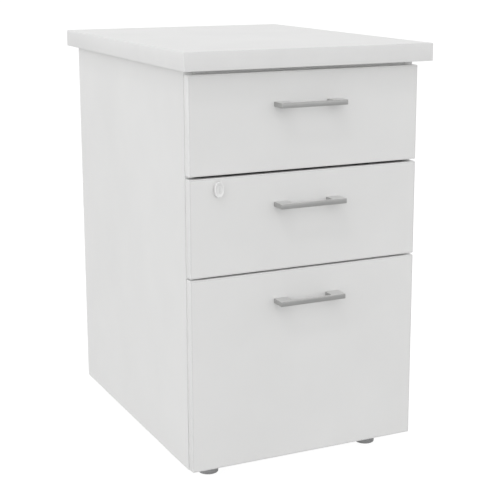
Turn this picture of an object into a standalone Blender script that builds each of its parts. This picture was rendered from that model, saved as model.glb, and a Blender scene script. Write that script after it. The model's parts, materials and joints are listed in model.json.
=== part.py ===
"""Desk-high office drawer pedestal: two box drawers over one filing drawer, with a gang lock.

Metres, +Z up. The origin is on the floor under the middle of the pedestal's width:
X runs across the front (left negative), Y from the drawer fronts to the back, and
the drawer fronts' outer faces stand at Y = FRONT_Y. The carcass is board, the
slides are bent steel channel, the feet screw in and out to level.
"""

import bpy
import bmesh
from math import cos, pi, radians, sin, tan
from mathutils import Matrix, Vector

# ---------------------------------------------------------------- shared dimensions

MM = 0.001
GAP = 0.3 * MM                      # between pieces that rest on each other
OVERCUT = 5 * MM                    # how far a cutter runs past the face it cuts through
SIDES = (("left", -1), ("right", 1))

TOTAL_H = 725 * MM
TOP_W, TOP_D, TOP_T = 450 * MM, 598 * MM, 30 * MM
TOP_BACK_Y = 301.5 * MM
UNDER_TOP = TOTAL_H - TOP_T
BODY_W = 420 * MM                   # over the side panels
BODY_BACK_Y = 277 * MM
FOOT_H = 28.5 * MM                  # floor to the underside of the carcass
BOARD = 16 * MM                     # carcass and drawer-front board
INNER = BODY_W / 2 - BOARD          # inner face of a side panel, from the middle
RAIL_D = 60 * MM                    # depth of the two rails under the top

# drawer fronts; the drawers are numbered from the top
FRONT_Y = -273.5 * MM               # outer face
FRONT_INNER_Y = FRONT_Y + BOARD
FRONT_W = 419.4 * MM
CARCASS_Y = FRONT_INNER_Y + 2 * MM  # front edge of the carcass
# bottom and top edge of each front
FRONT_Z = {
    1: (526.7 * MM, 687.4 * MM),
    2: (361.0 * MM, 522.7 * MM),
    3: (30.0 * MM, 358.0 * MM),
}

# drawer boxes
BOX_HALF = 362 * MM / 2             # outer face of a box side, from the middle
BOX_SIDE_T = 12 * MM
BOX_INSIDE = BOX_HALF - BOX_SIDE_T  # inner face of a box side
BOX_L = 480 * MM
# lower and upper edge of each box's sides
BOX_Z = {1: (542 * MM, 642 * MM), 2: (378 * MM, 478 * MM), 3: (56 * MM, 306 * MM)}
BASE_T = {1: 6 * MM, 2: 6 * MM, 3: 8 * MM}
BASE_UP = 8 * MM                    # underside of the base above the sides' lower edge
GROOVE = 6 * MM                     # depth of the base's groove in the sides

# slides
SLIDE_Z = {1: 592 * MM, 2: 415 * MM, 3: 110 * MM}
SLIDE_L = 450 * MM
SLIDE_START_Y = FRONT_Y + 20 * MM
SHEET = 1.2 * MM
WALL_X = INNER - GAP                # a slide's fixed web against the side panel
BOX_X = BOX_HALF + GAP              # a slide's moving web against the drawer box

# handles
HANDLE_W, HANDLE_OUT, HANDLE_H = 121.5 * MM, 28 * MM, 8 * MM
HANDLE_LEG_W, HANDLE_BAR_D = 24.5 * MM, 6 * MM
HANDLE_OUTER_R, HANDLE_INNER_R = 2.5 * MM, 3 * MM
HANDLE_Z = {1: 635.0 * MM, 2: 471.3 * MM, 3: 308.0 * MM}

# file rails
RAIL_SHEET = 1.5 * MM
RAIL_BLADE_H = 12 * MM
RAIL_BLADE_X = BOX_INSIDE - 3.2 * MM    # outer face of the blade

# lock; lengths named _FROM and _TO run back from the front's outer face
LOCK_DRAWER = 2
LOCK_X, LOCK_Z = -160.5 * MM, 505 * MM
LOCK_AT = (LOCK_X, FRONT_Y, LOCK_Z)
LOCK_HEAD_W, LOCK_HEAD_H, LOCK_HEAD_OUT = 16 * MM, 26 * MM, 8 * MM
OVAL_POWER = 0.87                   # 1 is a true ellipse, less is squarer
OVAL_STEPS = 48
LOCK_TUBE_R, LOCK_BORE_R = 8 * MM, 6.3 * MM
LOCK_TUBE_TO = 20 * MM
LOCK_BARREL_R = LOCK_BORE_R - 0.4 * MM
TAIL_R, TAIL_TO = 3 * MM, 29 * MM
KEY_SLOT_W, KEY_SLOT_H, KEY_SLOT_D = 2 * MM, 8 * MM, 14 * MM
CRANK_R = 7 * MM                    # lock axis to crank pin
CRANK_DISC_R = 9.5 * MM
CRANK_FROM, CRANK_TO = 22 * MM, 25 * MM
PIN_R = 2 * MM
PIN_FROM, PIN_TO = 23 * MM, 38 * MM
# The pin starts 45 degrees below level and ends 45 degrees above, which lifts
# the lock bar by CRANK_R * sqrt(2).
PIN_X = LOCK_X - CRANK_R * cos(pi / 4)
PIN_Z = LOCK_Z - CRANK_R * sin(pi / 4)

# lock bar, its pegs and its lift arm
BAR_Y, BAR_W, BAR_T = FRONT_Y + 50 * MM, 18 * MM, 6.7 * MM
BAR_Z = (255 * MM, 632 * MM)
BAR_ROOM_BELOW, BAR_ROOM_ABOVE = 15 * MM, 28 * MM
PEG_R = 3.5 * MM
PEG_Z = {1: 622 * MM, 2: 452 * MM, 3: 272 * MM}
RIVET_HOLE_R = 2.5 * MM
CATCH_H, CATCH_L, CATCH_OUT = 12 * MM, 24 * MM, 9 * MM
CATCH_PLATE_T, CATCH_TAB_T = 1.5 * MM, 2 * MM
ARM_Y = FRONT_Y + 31 * MM
ARM_Z = (490 * MM, 517 * MM)
ARM_SIDE_T, ARM_CROSS_T = 2 * MM, 3 * MM

# feet and their sockets
FOOT_R = 17.5 * MM
FOOT_NECK_R, FOOT_STEM_R = 11 * MM, 4.1 * MM
FOOT_X = 155.2 * MM
FOOT_Y = {"front": -211.0 * MM, "rear": 214.0 * MM}
SOCKET_BORE_R, SOCKET_SLEEVE_R, SOCKET_FLANGE_R = 4.5 * MM, 7.1 * MM, 11 * MM
SOCKET_HOLE_R = 7.5 * MM
SOCKET_DROP = 1.8 * MM              # underside of the flange below the carcass

# base colour, roughness, metallic
FINISHES = {
    "board": ((0.74, 0.74, 0.735), 0.45, 0.0),
    "steel": ((0.62, 0.63, 0.64), 0.32, 1.0),
    "zinc": ((0.55, 0.56, 0.58), 0.38, 1.0),
    "aluminium": ((0.66, 0.67, 0.68), 0.35, 1.0),
    "nickel": ((0.44, 0.44, 0.43), 0.36, 1.0),
    "chrome": ((0.80, 0.80, 0.80), 0.15, 1.0),
    "plastic": ((0.20, 0.20, 0.205), 0.55, 0.0),
}

# ---------------------------------------------------------------- objects and materials


def finish(obj, kind):
    """Gives the object its own material of one of the FINISHES."""
    colour, roughness, metallic = FINISHES[kind]
    material = bpy.data.materials.new(f"{obj.name}_{kind}")
    material.use_nodes = True
    shader = material.node_tree.nodes["Principled BSDF"]
    shader.inputs["Base Color"].default_value = (*colour, 1.0)
    shader.inputs["Roughness"].default_value = roughness
    shader.inputs["Metallic"].default_value = metallic
    material.diffuse_color = (*colour, 1.0)
    obj.data.materials.append(material)


def world_at(obj):
    return obj.location + (world_at(obj.parent) if obj.parent else Vector((0, 0, 0)))


def hang(obj, at, parent):
    """Parents the object and puts its origin at a world place."""
    obj.parent = parent
    obj.location = at - (world_at(parent) if parent else Vector((0, 0, 0)))


def joint_frame(name, at, parent=None):
    """An empty on a joint's axis; everything that moves with the joint hangs on it."""
    empty = bpy.data.objects.new(name, None)
    empty.empty_display_size = 0.03
    bpy.context.collection.objects.link(empty)
    hang(empty, Vector(at), parent)
    return empty


def add(name, shape, at, parent, kind):
    """Turns a bmesh drawn around its own origin into a named object at a world place."""
    bmesh.ops.recalc_face_normals(shape, faces=shape.faces)
    mesh = bpy.data.meshes.new(name)
    shape.to_mesh(mesh)
    shape.free()
    obj = bpy.data.objects.new(name, mesh)
    bpy.context.collection.objects.link(obj)
    hang(obj, Vector(at), parent)
    if kind:
        finish(obj, kind)
    return obj


def smooth(obj, sharp_degrees):
    """Shades smooth, but keeps edges steeper than the angle sharp."""
    obj.data.shade_smooth()
    obj.data.set_sharp_from_angle(angle=radians(sharp_degrees))


def ease(obj, width, segments=1):
    """Breaks the sharp edges of a shape."""
    bevel = obj.modifiers.new("eased_edges", "BEVEL")
    bevel.width = width
    bevel.segments = segments
    bevel.limit_method = "ANGLE"
    bevel.angle_limit = radians(40)
    bevel.use_clamp_overlap = True


def cut(obj, cutter, operation="DIFFERENCE"):
    """Cuts a helper out of the object, or joins it on with UNION, and hides the helper."""
    cutter.hide_render = True
    cutter.display_type = "WIRE"
    boolean = obj.modifiers.new(operation.lower(), "BOOLEAN")
    boolean.operation = operation
    boolean.solver = "EXACT"
    boolean.object = cutter


# ---------------------------------------------------------------- shapes


def block(name, low, high, parent=None, kind="board"):
    """A board or bar between two world corners."""
    low, high = Vector(low), Vector(high)
    shape = bmesh.new()
    bmesh.ops.create_cube(shape, size=1.0)
    bmesh.ops.scale(shape, vec=high - low, verts=shape.verts)
    return add(name, shape, (low + high) / 2, parent, kind)


def prism(name, outline, along, start, end, parent=None, kind="zinc"):
    """A closed outline pushed along one axis: (x, z) along Y, (x, y) along Z."""
    def place(first, second, distance):
        return (first, distance, second) if along == "Y" else (first, second, distance)

    shape = bmesh.new()
    near = [shape.verts.new(place(a, b, start)) for a, b in outline]
    far = [shape.verts.new(place(a, b, end)) for a, b in outline]
    shape.faces.new(near)
    shape.faces.new(list(reversed(far)))
    for i in range(len(outline)):
        j = (i + 1) % len(outline)
        shape.faces.new((near[i], far[i], far[j], near[j]))
    centre = sum((vert.co for vert in shape.verts), Vector()) / len(shape.verts)
    bmesh.ops.translate(shape, vec=-centre, verts=shape.verts)
    return add(name, shape, centre, parent, kind)


AXIS_TURNS = {
    "Z": Matrix.Identity(3),
    "Y": Matrix.Rotation(-pi / 2, 3, "X"),
    "X": Matrix.Rotation(pi / 2, 3, "Y"),
}


def turned(name, profile, axis, at, parent=None, kind="steel", steps=32):
    """A profile of (radius, position along the axis) turned a full circle about that axis."""
    shape = bmesh.new()
    rings = []
    for radius, along in profile:
        angles = [2 * pi * i / steps for i in range(steps)] if radius else [0]
        rings.append(
            [shape.verts.new((radius * cos(t), radius * sin(t), along)) for t in angles]
        )
    pairs = list(zip(rings, rings[1:]))
    if len(rings[0]) > 1 and len(rings[-1]) > 1:
        pairs.append((rings[-1], rings[0]))     # a bored piece closes on itself
    for one, two in pairs:
        for i in range(steps):
            j = (i + 1) % steps
            loop = [one[i % len(one)], one[j % len(one)], two[j % len(two)], two[i % len(two)]]
            shape.faces.new(list(dict.fromkeys(loop)))      # at a pole, a triangle
    bmesh.ops.rotate(shape, matrix=AXIS_TURNS[axis], verts=shape.verts)
    obj = add(name, shape, at, parent, kind)
    smooth(obj, sharp_degrees=35)
    return obj


def round_helper(name, radius, start, end, axis, at, parent=None, steps=32):
    """A plain cylinder to cut with or to join on."""
    profile = [(0, start), (radius, start), (radius, end), (0, end)]
    return turned(name, profile, axis, at, parent, kind=None, steps=steps)


def mirrored(sign, outline):
    """The outline on the left (sign -1) or the right (sign 1)."""
    return [(sign * x, z) for x, z in outline]


def rounded(points, radii, steps=3):
    """The outline with each corner turned into an arc of its own radius."""
    outline = []
    for i, (point, radius) in enumerate(zip(points, radii)):
        corner = Vector(point)
        if radius == 0:
            outline.append(tuple(corner))
            continue
        back = (Vector(points[i - 1]) - corner).normalized()
        ahead = (Vector(points[(i + 1) % len(points)]) - corner).normalized()
        half_angle = back.angle(ahead) / 2
        reach = radius / tan(half_angle)
        centre = corner + (back + ahead).normalized() * (radius / sin(half_angle))
        first = corner + back * reach - centre
        last = corner + ahead * reach - centre
        swing = first.angle_signed(last)
        for k in range(steps + 1):
            t = -swing * k / steps
            x = centre.x + first.x * cos(t) - first.y * sin(t)
            y = centre.y + first.x * sin(t) + first.y * cos(t)
            outline.append((x, y))
    return outline


# ---------------------------------------------------------------- carcass


def build_top():
    top = block(
        "top_panel",
        (-TOP_W / 2, TOP_BACK_Y - TOP_D, UNDER_TOP),
        (TOP_W / 2, TOP_BACK_Y, TOTAL_H),
    )
    ease(top, width=1.5 * MM, segments=2)


def build_side_panels():
    panels = {}
    for side, sign in SIDES:
        left_x, right_x = sorted((sign * INNER, sign * BODY_W / 2))
        panels[side] = block(
            f"side_panel_{side}",
            (left_x, CARCASS_Y, FOOT_H),
            (right_x, BODY_BACK_Y, UNDER_TOP - GAP),
        )
    # the lock bar's groove, cut into the left panel's inner face and closed at both ends
    groove = block(
        "cutter_lock_groove",
        (-INNER - BAR_T - GAP, BAR_Y - BAR_W / 2 - GAP, BAR_Z[0] - BAR_ROOM_BELOW),
        (-INNER + OVERCUT, BAR_Y + BAR_W / 2 + GAP, BAR_Z[1] + BAR_ROOM_ABOVE),
        kind=None,
    )
    cut(panels["left"], groove)


def build_inner_boards():
    """Bottom, back and two rails between the side panels; returns the bottom."""
    half = INNER - GAP
    high = UNDER_TOP - GAP
    back_front_y = BODY_BACK_Y - BOARD
    rear_rail_y = back_front_y - GAP
    # name: front and back Y, lower and upper Z
    boards = {
        "bottom_panel": (CARCASS_Y, BODY_BACK_Y, FOOT_H, FOOT_H + BOARD),
        "back_panel": (back_front_y, BODY_BACK_Y, FOOT_H + BOARD + GAP, high),
        "top_rail_front": (CARCASS_Y, CARCASS_Y + RAIL_D, high - BOARD, high),
        "top_rail_rear": (rear_rail_y - RAIL_D, rear_rail_y, high - BOARD, high),
    }
    made = {
        name: block(name, (-half, front_y, low_z), (half, back_y, high_z))
        for name, (front_y, back_y, low_z, high_z) in boards.items()
    }
    return made["bottom_panel"]


# ---------------------------------------------------------------- feet


def build_socket(corner, at, bottom):
    """Sleeve pushed up into the bottom panel, its flange under the panel."""
    hole = round_helper(
        f"cutter_socket_hole_{corner}",
        SOCKET_HOLE_R,
        FOOT_H - OVERCUT,
        FOOT_H + BOARD + OVERCUT,
        "Z",
        at,
        steps=16,
    )
    cut(bottom, hole)
    profile = [
        (SOCKET_BORE_R, FOOT_H - SOCKET_DROP),
        (SOCKET_FLANGE_R, FOOT_H - SOCKET_DROP),
        (SOCKET_FLANGE_R, FOOT_H - GAP),
        (SOCKET_SLEEVE_R, FOOT_H - GAP),
        (SOCKET_SLEEVE_R, FOOT_H + BOARD - GAP),
        (SOCKET_BORE_R, FOOT_H + BOARD - GAP),
    ]
    turned(f"foot_socket_{corner}", profile, "Z", at, kind="zinc", steps=16)


def build_foot(corner, at):
    """A pad, neck and stem that screw up and down on their own upright axis."""
    neck_top = FOOT_H - 2.4 * MM
    profile = [
        (0, 0),
        (FOOT_R - 1.2 * MM, 0),
        (FOOT_R, 1.2 * MM),
        (FOOT_R, 16.5 * MM),
        (FOOT_R - 1.5 * MM, 18 * MM),
        (FOOT_NECK_R, 19 * MM),
        (FOOT_NECK_R, neck_top),
        (FOOT_STEM_R, neck_top),
        (FOOT_STEM_R, FOOT_H + 13 * MM),
        (FOOT_STEM_R - 0.8 * MM, FOOT_H + 14 * MM),
        (0, FOOT_H + 14 * MM),
    ]
    frame = joint_frame(f"foot_{corner}_axis", at)
    turned(f"foot_{corner}", profile, "Z", at, parent=frame, kind="plastic")


# ---------------------------------------------------------------- drawers


def build_front(n, body):
    low, high = FRONT_Z[n]
    front = block(
        f"drawer_{n}_front",
        (-FRONT_W / 2, FRONT_Y, low),
        (FRONT_W / 2, FRONT_INNER_Y, high),
        parent=body,
    )
    # the edges are eased before the lock's hole is drilled
    ease(front, width=1.2 * MM, segments=2)
    if n == LOCK_DRAWER:
        hole = round_helper(
            "cutter_lock_hole",
            LOCK_TUBE_R + GAP,
            -OVERCUT,
            BOARD + OVERCUT,
            "Y",
            LOCK_AT,
            parent=body,
        )
        cut(front, hole)


def build_box(n, body):
    """Two grooved sides, a base held in the grooves, and a back standing on the base."""
    low, high = BOX_Z[n]
    base_low = low + BASE_UP
    base_high = base_low + BASE_T[n]
    near = FRONT_INNER_Y + GAP
    far = near + BOX_L
    section = [
        (BOX_INSIDE, low),
        (BOX_HALF, low),
        (BOX_HALF, high),
        (BOX_INSIDE, high),
        (BOX_INSIDE, base_high + GAP),
        (BOX_INSIDE + GROOVE, base_high + GAP),
        (BOX_INSIDE + GROOVE, base_low - GAP),
        (BOX_INSIDE, base_low - GAP),
    ]
    for side, sign in SIDES:
        name = f"drawer_{n}_side_{side}"
        prism(name, mirrored(sign, section), "Y", near, far, parent=body, kind="board")
    base_half = BOX_INSIDE + GROOVE - GAP
    block(
        f"drawer_{n}_base",
        (-base_half, near, base_low),
        (base_half, far, base_high),
        parent=body,
    )
    back_half = BOX_INSIDE - GAP
    block(
        f"drawer_{n}_back",
        (-back_half, far - BOX_SIDE_T, base_high + GAP),
        (back_half, far, high),
        parent=body,
    )


def build_handle(n, body):
    """A flat bar on two broad legs, drawn in plan and given its height."""
    half = HANDLE_W / 2
    leg_x = half - HANDLE_LEG_W
    foot_y = FRONT_Y - GAP
    outer_y = FRONT_Y - HANDLE_OUT
    bar_y = outer_y + HANDLE_BAR_D
    # x, y, corner radius
    corners = [
        (-half, foot_y, 0),
        (-half, outer_y, HANDLE_OUTER_R),
        (half, outer_y, HANDLE_OUTER_R),
        (half, foot_y, 0),
        (leg_x, foot_y, 0),
        (leg_x, bar_y, HANDLE_INNER_R),
        (-leg_x, bar_y, HANDLE_INNER_R),
        (-leg_x, foot_y, 0),
    ]
    plan = rounded([(x, y) for x, y, _ in corners], [radius for _, _, radius in corners])
    low, high = HANDLE_Z[n] - HANDLE_H / 2, HANDLE_Z[n] + HANDLE_H / 2
    handle = prism(f"handle_{n}", plan, "Z", low, high, parent=body, kind="nickel")
    smooth(handle, sharp_degrees=40)
    ease(handle, width=0.8 * MM)


def channel(name, sign, z, web, reach, half_h, parent=None):
    """Bent channel along Y: its web's back stands at distance web from the middle of
    the pedestal, and its flanges reach outward from there (inward if reach is negative).
    """
    lip = web + reach
    web_face = web + (SHEET if reach > 0 else -SHEET)
    outline = [
        (web, z - half_h),
        (lip, z - half_h),
        (lip, z - half_h + SHEET),
        (web_face, z - half_h + SHEET),
        (web_face, z + half_h - SHEET),
        (lip, z + half_h - SHEET),
        (lip, z + half_h),
        (web, z + half_h),
    ]
    end = SLIDE_START_Y + SLIDE_L
    prism(name, mirrored(sign, outline), "Y", SLIDE_START_Y, end, parent=parent)


def build_box_slide(n, side, sign, body):
    """A fixed channel on the carcass and a moving one on the drawer box."""
    name, z = f"slide_{n}_{side}", SLIDE_Z[n]
    channel(f"{name}_outer", sign, z, web=WALL_X, reach=-9 * MM, half_h=17.5 * MM)
    channel(f"{name}_inner", sign, z, web=BOX_X, reach=9 * MM, half_h=12 * MM, parent=body)


def build_filing_slide(n, side, sign, body):
    """As a box drawer's, with a third channel between, so the drawer comes right out."""
    name, z = f"slide_{n}_{side}", SLIDE_Z[n]
    channel(f"{name}_outer", sign, z, web=WALL_X, reach=-9 * MM, half_h=22.5 * MM)
    middle = joint_frame(
        f"{name}_middle_axis", (sign * (WALL_X - 2.5 * MM), SLIDE_START_Y, z)
    )
    channel(
        f"{name}_middle",
        sign,
        z,
        web=WALL_X - 2.2 * MM,
        reach=-7.8 * MM,
        half_h=18 * MM,
        parent=middle,
    )
    channel(f"{name}_inner", sign, z, web=BOX_X, reach=7 * MM, half_h=13 * MM, parent=body)


def build_catch(n, body):
    """Plate on the left of the box with a tab that the lock bar's peg rises in front of."""
    tab_y = BAR_Y + PEG_R + 2.5 * MM
    low = PEG_Z[n] + PEG_R + 0.9 * MM
    plan = [
        (-BOX_X, tab_y),
        (-BOX_X, tab_y + CATCH_L),
        (-BOX_X - CATCH_PLATE_T, tab_y + CATCH_L),
        (-BOX_X - CATCH_PLATE_T, tab_y + CATCH_TAB_T),
        (-BOX_X - CATCH_OUT, tab_y + CATCH_TAB_T),
        (-BOX_X - CATCH_OUT, tab_y),
    ]
    prism(f"drawer_{n}_catch", plan, "Z", low, low + CATCH_H, parent=body)


def build_drawer(n):
    body = joint_frame(f"drawer_{n}_slide_axis", (0, FRONT_Y, sum(FRONT_Z[n]) / 2))
    build_front(n, body)
    build_box(n, body)
    build_handle(n, body)
    build_slide = build_filing_slide if n == 3 else build_box_slide
    for side, sign in SIDES:
        build_slide(n, side, sign, body)
    build_catch(n, body)
    return body


def build_file_rails(body):
    """Rails for hanging files: flat on the side's upper edge, with a blade standing inside it."""
    low = BOX_Z[3][1] + GAP
    section = [
        (RAIL_BLADE_X - RAIL_SHEET, low),
        (BOX_HALF, low),
        (BOX_HALF, low + RAIL_SHEET),
        (RAIL_BLADE_X, low + RAIL_SHEET),
        (RAIL_BLADE_X, low + RAIL_BLADE_H),
        (RAIL_BLADE_X - RAIL_SHEET, low + RAIL_BLADE_H),
    ]
    start, end = FRONT_INNER_Y + 4 * MM, FRONT_INNER_Y + BOX_L - 6 * MM
    for side, sign in SIDES:
        prism(f"file_rail_{side}", mirrored(sign, section), "Y", start, end, parent=body)


# ---------------------------------------------------------------- lock


def build_lock_housing(body):
    """Fixed case through the drawer front: an upright oval head and a bored tube."""
    def oval_reach(size, ratio):
        return size / 2 * abs(ratio) ** OVAL_POWER * (1 if ratio >= 0 else -1)

    angles = [2 * pi * i / OVAL_STEPS for i in range(OVAL_STEPS)]
    oval = [
        (LOCK_X + oval_reach(LOCK_HEAD_W, cos(t)), LOCK_Z + oval_reach(LOCK_HEAD_H, sin(t)))
        for t in angles
    ]
    start, end = FRONT_Y - LOCK_HEAD_OUT, FRONT_Y - GAP
    housing = prism("lock_housing", oval, "Y", start, end, parent=body, kind="chrome")
    ease(housing, width=1 * MM)
    tube_r = LOCK_TUBE_R - 0.2 * MM
    tube = round_helper(
        "cutter_lock_tube", tube_r, -3 * MM, LOCK_TUBE_TO, "Y", LOCK_AT, parent=body
    )
    cut(housing, tube, "UNION")
    bore = round_helper(
        "cutter_lock_bore", LOCK_BORE_R, -20 * MM, 30 * MM, "Y", LOCK_AT, parent=body
    )
    cut(housing, bore)


def build_lock_barrel(lock):
    """Slotted barrel with a thinner round tail behind."""
    face = -LOCK_HEAD_OUT + 0.4 * MM
    chamfer = 0.5 * MM
    profile = [
        (0, face),
        (LOCK_BARREL_R - chamfer, face),
        (LOCK_BARREL_R, face + chamfer),
        (LOCK_BARREL_R, LOCK_TUBE_TO),
        (TAIL_R, LOCK_TUBE_TO),
        (TAIL_R, TAIL_TO),
        (0, TAIL_TO),
    ]
    barrel = turned("lock_barrel", profile, "Y", LOCK_AT, parent=lock, kind="chrome")
    head_y = FRONT_Y - LOCK_HEAD_OUT
    key_slot = block(
        "cutter_key_slot",
        (LOCK_X - KEY_SLOT_W / 2, head_y - 3 * MM, LOCK_Z - KEY_SLOT_H / 2),
        (LOCK_X + KEY_SLOT_W / 2, head_y + KEY_SLOT_D, LOCK_Z + KEY_SLOT_H / 2),
        parent=lock,
        kind=None,
    )
    cut(barrel, key_slot)


def build_lock_crank(lock):
    """Disc on the barrel's tail, with an off-centre pin pointing back."""
    profile = [
        (TAIL_R + GAP, CRANK_FROM),
        (CRANK_DISC_R, CRANK_FROM),
        (CRANK_DISC_R, CRANK_TO),
        (TAIL_R + GAP, CRANK_TO),
    ]
    crank = turned("lock_crank", profile, "Y", LOCK_AT, parent=lock, steps=24)
    pin_at = (PIN_X, FRONT_Y, PIN_Z)
    pin = round_helper(
        "cutter_crank_pin", PIN_R, PIN_FROM, PIN_TO, "Y", pin_at, parent=lock, steps=16
    )
    cut(crank, pin, "UNION")


def build_lock_bar(lift):
    """Bar in the left side panel's groove, with a riveted peg for each drawer."""
    bar = block(
        "lock_bar",
        (-INNER - BAR_T, BAR_Y - BAR_W / 2, BAR_Z[0]),
        (-INNER, BAR_Y + BAR_W / 2, BAR_Z[1]),
        parent=lift,
        kind="aluminium",
    )
    shank_r, shank_end = 2.2 * MM, -6.4 * MM
    peg_end, chamfer = 9.7 * MM, 0.7 * MM
    peg_profile = [
        (0, shank_end),
        (shank_r, shank_end),
        (shank_r, GAP),
        (PEG_R, GAP),
        (PEG_R, peg_end - chamfer),
        (PEG_R - chamfer, peg_end),
        (0, peg_end),
    ]
    for n, z in PEG_Z.items():
        at = (-INNER, BAR_Y, z)
        hole = round_helper(
            f"cutter_rivet_hole_{n}",
            RIVET_HOLE_R,
            -10 * MM,
            10 * MM,
            "X",
            at,
            parent=lift,
            steps=12,
        )
        cut(bar, hole)
        turned(f"lock_peg_{n}", peg_profile, "X", at, parent=lift, steps=16)


def build_lift_arm(lift):
    """Bent plate from the bar to the crank; its slot lets the pin slip out forwards
    when the drawer is pulled.
    """
    wall_x = -INNER + GAP
    end_x = LOCK_X + 3 * MM
    rear_y = BAR_Y + 7 * MM
    plan = [
        (wall_x, rear_y),
        (wall_x, ARM_Y),
        (end_x, ARM_Y),
        (end_x, ARM_Y + ARM_CROSS_T),
        (wall_x + ARM_SIDE_T, ARM_Y + ARM_CROSS_T),
        (wall_x + ARM_SIDE_T, rear_y),
    ]
    arm = prism("lock_lift_arm", plan, "Z", *ARM_Z, parent=lift)
    slot_half_h = PIN_R + 0.5 * MM
    pin_slot = block(
        "cutter_pin_slot",
        (LOCK_X - 9.5 * MM, ARM_Y - OVERCUT, PIN_Z - slot_half_h),
        (LOCK_X - 2.5 * MM, ARM_Y + ARM_CROSS_T + OVERCUT, PIN_Z + slot_half_h),
        parent=lift,
        kind=None,
    )
    cut(arm, pin_slot)


# ---------------------------------------------------------------- build

for old in list(bpy.data.objects):
    bpy.data.objects.remove(old, do_unlink=True)

build_top()
build_side_panels()
bottom_panel = build_inner_boards()

for row, foot_y in FOOT_Y.items():
    for side, sign in SIDES:
        foot_at = (sign * FOOT_X, foot_y, 0)
        build_socket(f"{row}_{side}", foot_at, bottom_panel)
        build_foot(f"{row}_{side}", foot_at)

drawers = {n: build_drawer(n) for n in FRONT_Z}
build_file_rails(drawers[3])

build_lock_housing(drawers[LOCK_DRAWER])
lock_turn = joint_frame("lock_turn_axis", LOCK_AT, drawers[LOCK_DRAWER])
build_lock_barrel(lock_turn)
build_lock_crank(lock_turn)

# the bar and its arm slide up and down together
bar_lift = joint_frame("lock_bar_axis", (-INNER - BAR_T / 2, BAR_Y, sum(BAR_Z) / 2))
build_lock_bar(bar_lift)
build_lift_arm(bar_lift)
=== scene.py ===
"""Looks of the desk-high drawer pedestal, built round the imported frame.

The pedestal stands on z = 0 and is centred on x = 0. Its drawers face -Y and its
left side is -X. Lengths are metres; MM turns millimetres into them.
"""

import json
from math import atan2, cos, pi, radians, sin

import bmesh
import bpy
from mathutils import Matrix, Vector


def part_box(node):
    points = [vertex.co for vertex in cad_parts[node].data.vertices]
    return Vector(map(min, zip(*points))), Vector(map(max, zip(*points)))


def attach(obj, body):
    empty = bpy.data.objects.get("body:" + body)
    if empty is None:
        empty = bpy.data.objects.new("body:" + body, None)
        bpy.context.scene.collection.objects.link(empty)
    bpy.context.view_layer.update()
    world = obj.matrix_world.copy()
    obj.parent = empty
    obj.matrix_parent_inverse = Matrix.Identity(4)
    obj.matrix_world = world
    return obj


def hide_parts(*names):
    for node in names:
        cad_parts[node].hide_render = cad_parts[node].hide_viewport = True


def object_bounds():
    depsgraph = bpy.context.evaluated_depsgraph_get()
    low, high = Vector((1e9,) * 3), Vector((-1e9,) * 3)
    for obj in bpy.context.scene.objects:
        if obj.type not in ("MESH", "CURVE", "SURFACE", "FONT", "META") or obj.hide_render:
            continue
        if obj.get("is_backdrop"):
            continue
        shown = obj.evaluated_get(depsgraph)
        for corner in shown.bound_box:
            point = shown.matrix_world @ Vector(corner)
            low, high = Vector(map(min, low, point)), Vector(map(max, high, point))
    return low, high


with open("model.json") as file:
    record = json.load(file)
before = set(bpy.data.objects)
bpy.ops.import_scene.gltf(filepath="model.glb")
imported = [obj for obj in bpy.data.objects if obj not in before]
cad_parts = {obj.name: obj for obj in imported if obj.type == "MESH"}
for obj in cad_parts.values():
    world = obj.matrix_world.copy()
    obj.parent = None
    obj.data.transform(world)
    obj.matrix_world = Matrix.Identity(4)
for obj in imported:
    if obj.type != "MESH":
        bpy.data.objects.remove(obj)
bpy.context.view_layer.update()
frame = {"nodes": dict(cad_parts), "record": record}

MM = 0.001
RECORD = frame["record"]
NODE_BODY = {node: body for body, nodes in RECORD["behaviour"]["bodies"].items() for node in nodes}
SCENE = bpy.context.scene
SIDES = (("left", -1), ("right", 1))    # name, sign of x
DRAWERS = (1, 2, 3)                     # from the top; 3 is the file drawer


def in_mm(points):
    """Points given in millimetres, as metres."""
    return [tuple(value * MM for value in point) for point in points]


# ------------------------------------------------------------------ shader nodes

MID = (0.3, 0.7)    # the range that most of a noise texture's values lie in


def material(name):
    made = bpy.data.materials.new(name)
    made.use_nodes = True
    return made, made.node_tree, made.node_tree.nodes["Principled BSDF"]


def link(tree, out, into):
    tree.links.new(out, into)


def coords(tree, scale=(1, 1, 1)):
    place = tree.nodes.new("ShaderNodeTexCoord")
    mapped = tree.nodes.new("ShaderNodeMapping")
    mapped.inputs["Scale"].default_value = scale
    link(tree, place.outputs["Object"], mapped.inputs["Vector"])
    return mapped.outputs["Vector"]


def noise(tree, at, scale, detail=2.0, roughness=0.5):
    made = tree.nodes.new("ShaderNodeTexNoise")
    made.inputs["Scale"].default_value = scale
    made.inputs["Detail"].default_value = detail
    made.inputs["Roughness"].default_value = roughness
    link(tree, at, made.inputs["Vector"])
    return made.outputs["Fac"]


def span(tree, value, to, within=MID):
    """The value, moved from one (low, high) range to another."""
    made = tree.nodes.new("ShaderNodeMapRange")
    for label, limits in (("From", within), ("To", to)):
        made.inputs[f"{label} Min"].default_value = limits[0]
        made.inputs[f"{label} Max"].default_value = limits[1]
    link(tree, value, made.inputs["Value"])
    return made.outputs["Result"]


def maths(tree, kind, first, second):
    made = tree.nodes.new("ShaderNodeMath")
    made.operation = kind
    for value, socket in zip((first, second), made.inputs):
        if isinstance(value, (int, float)):
            socket.default_value = value
        else:
            link(tree, value, socket)
    return made.outputs[0]


def tinted(tree, shader, colour, factor):
    """Base Color = colour times a factor that nodes work out."""
    made = tree.nodes.new("ShaderNodeVectorMath")
    made.operation = "SCALE"
    made.inputs[0].default_value = colour
    link(tree, factor, made.inputs["Scale"])
    link(tree, made.outputs[0], shader.inputs["Base Color"])


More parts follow.
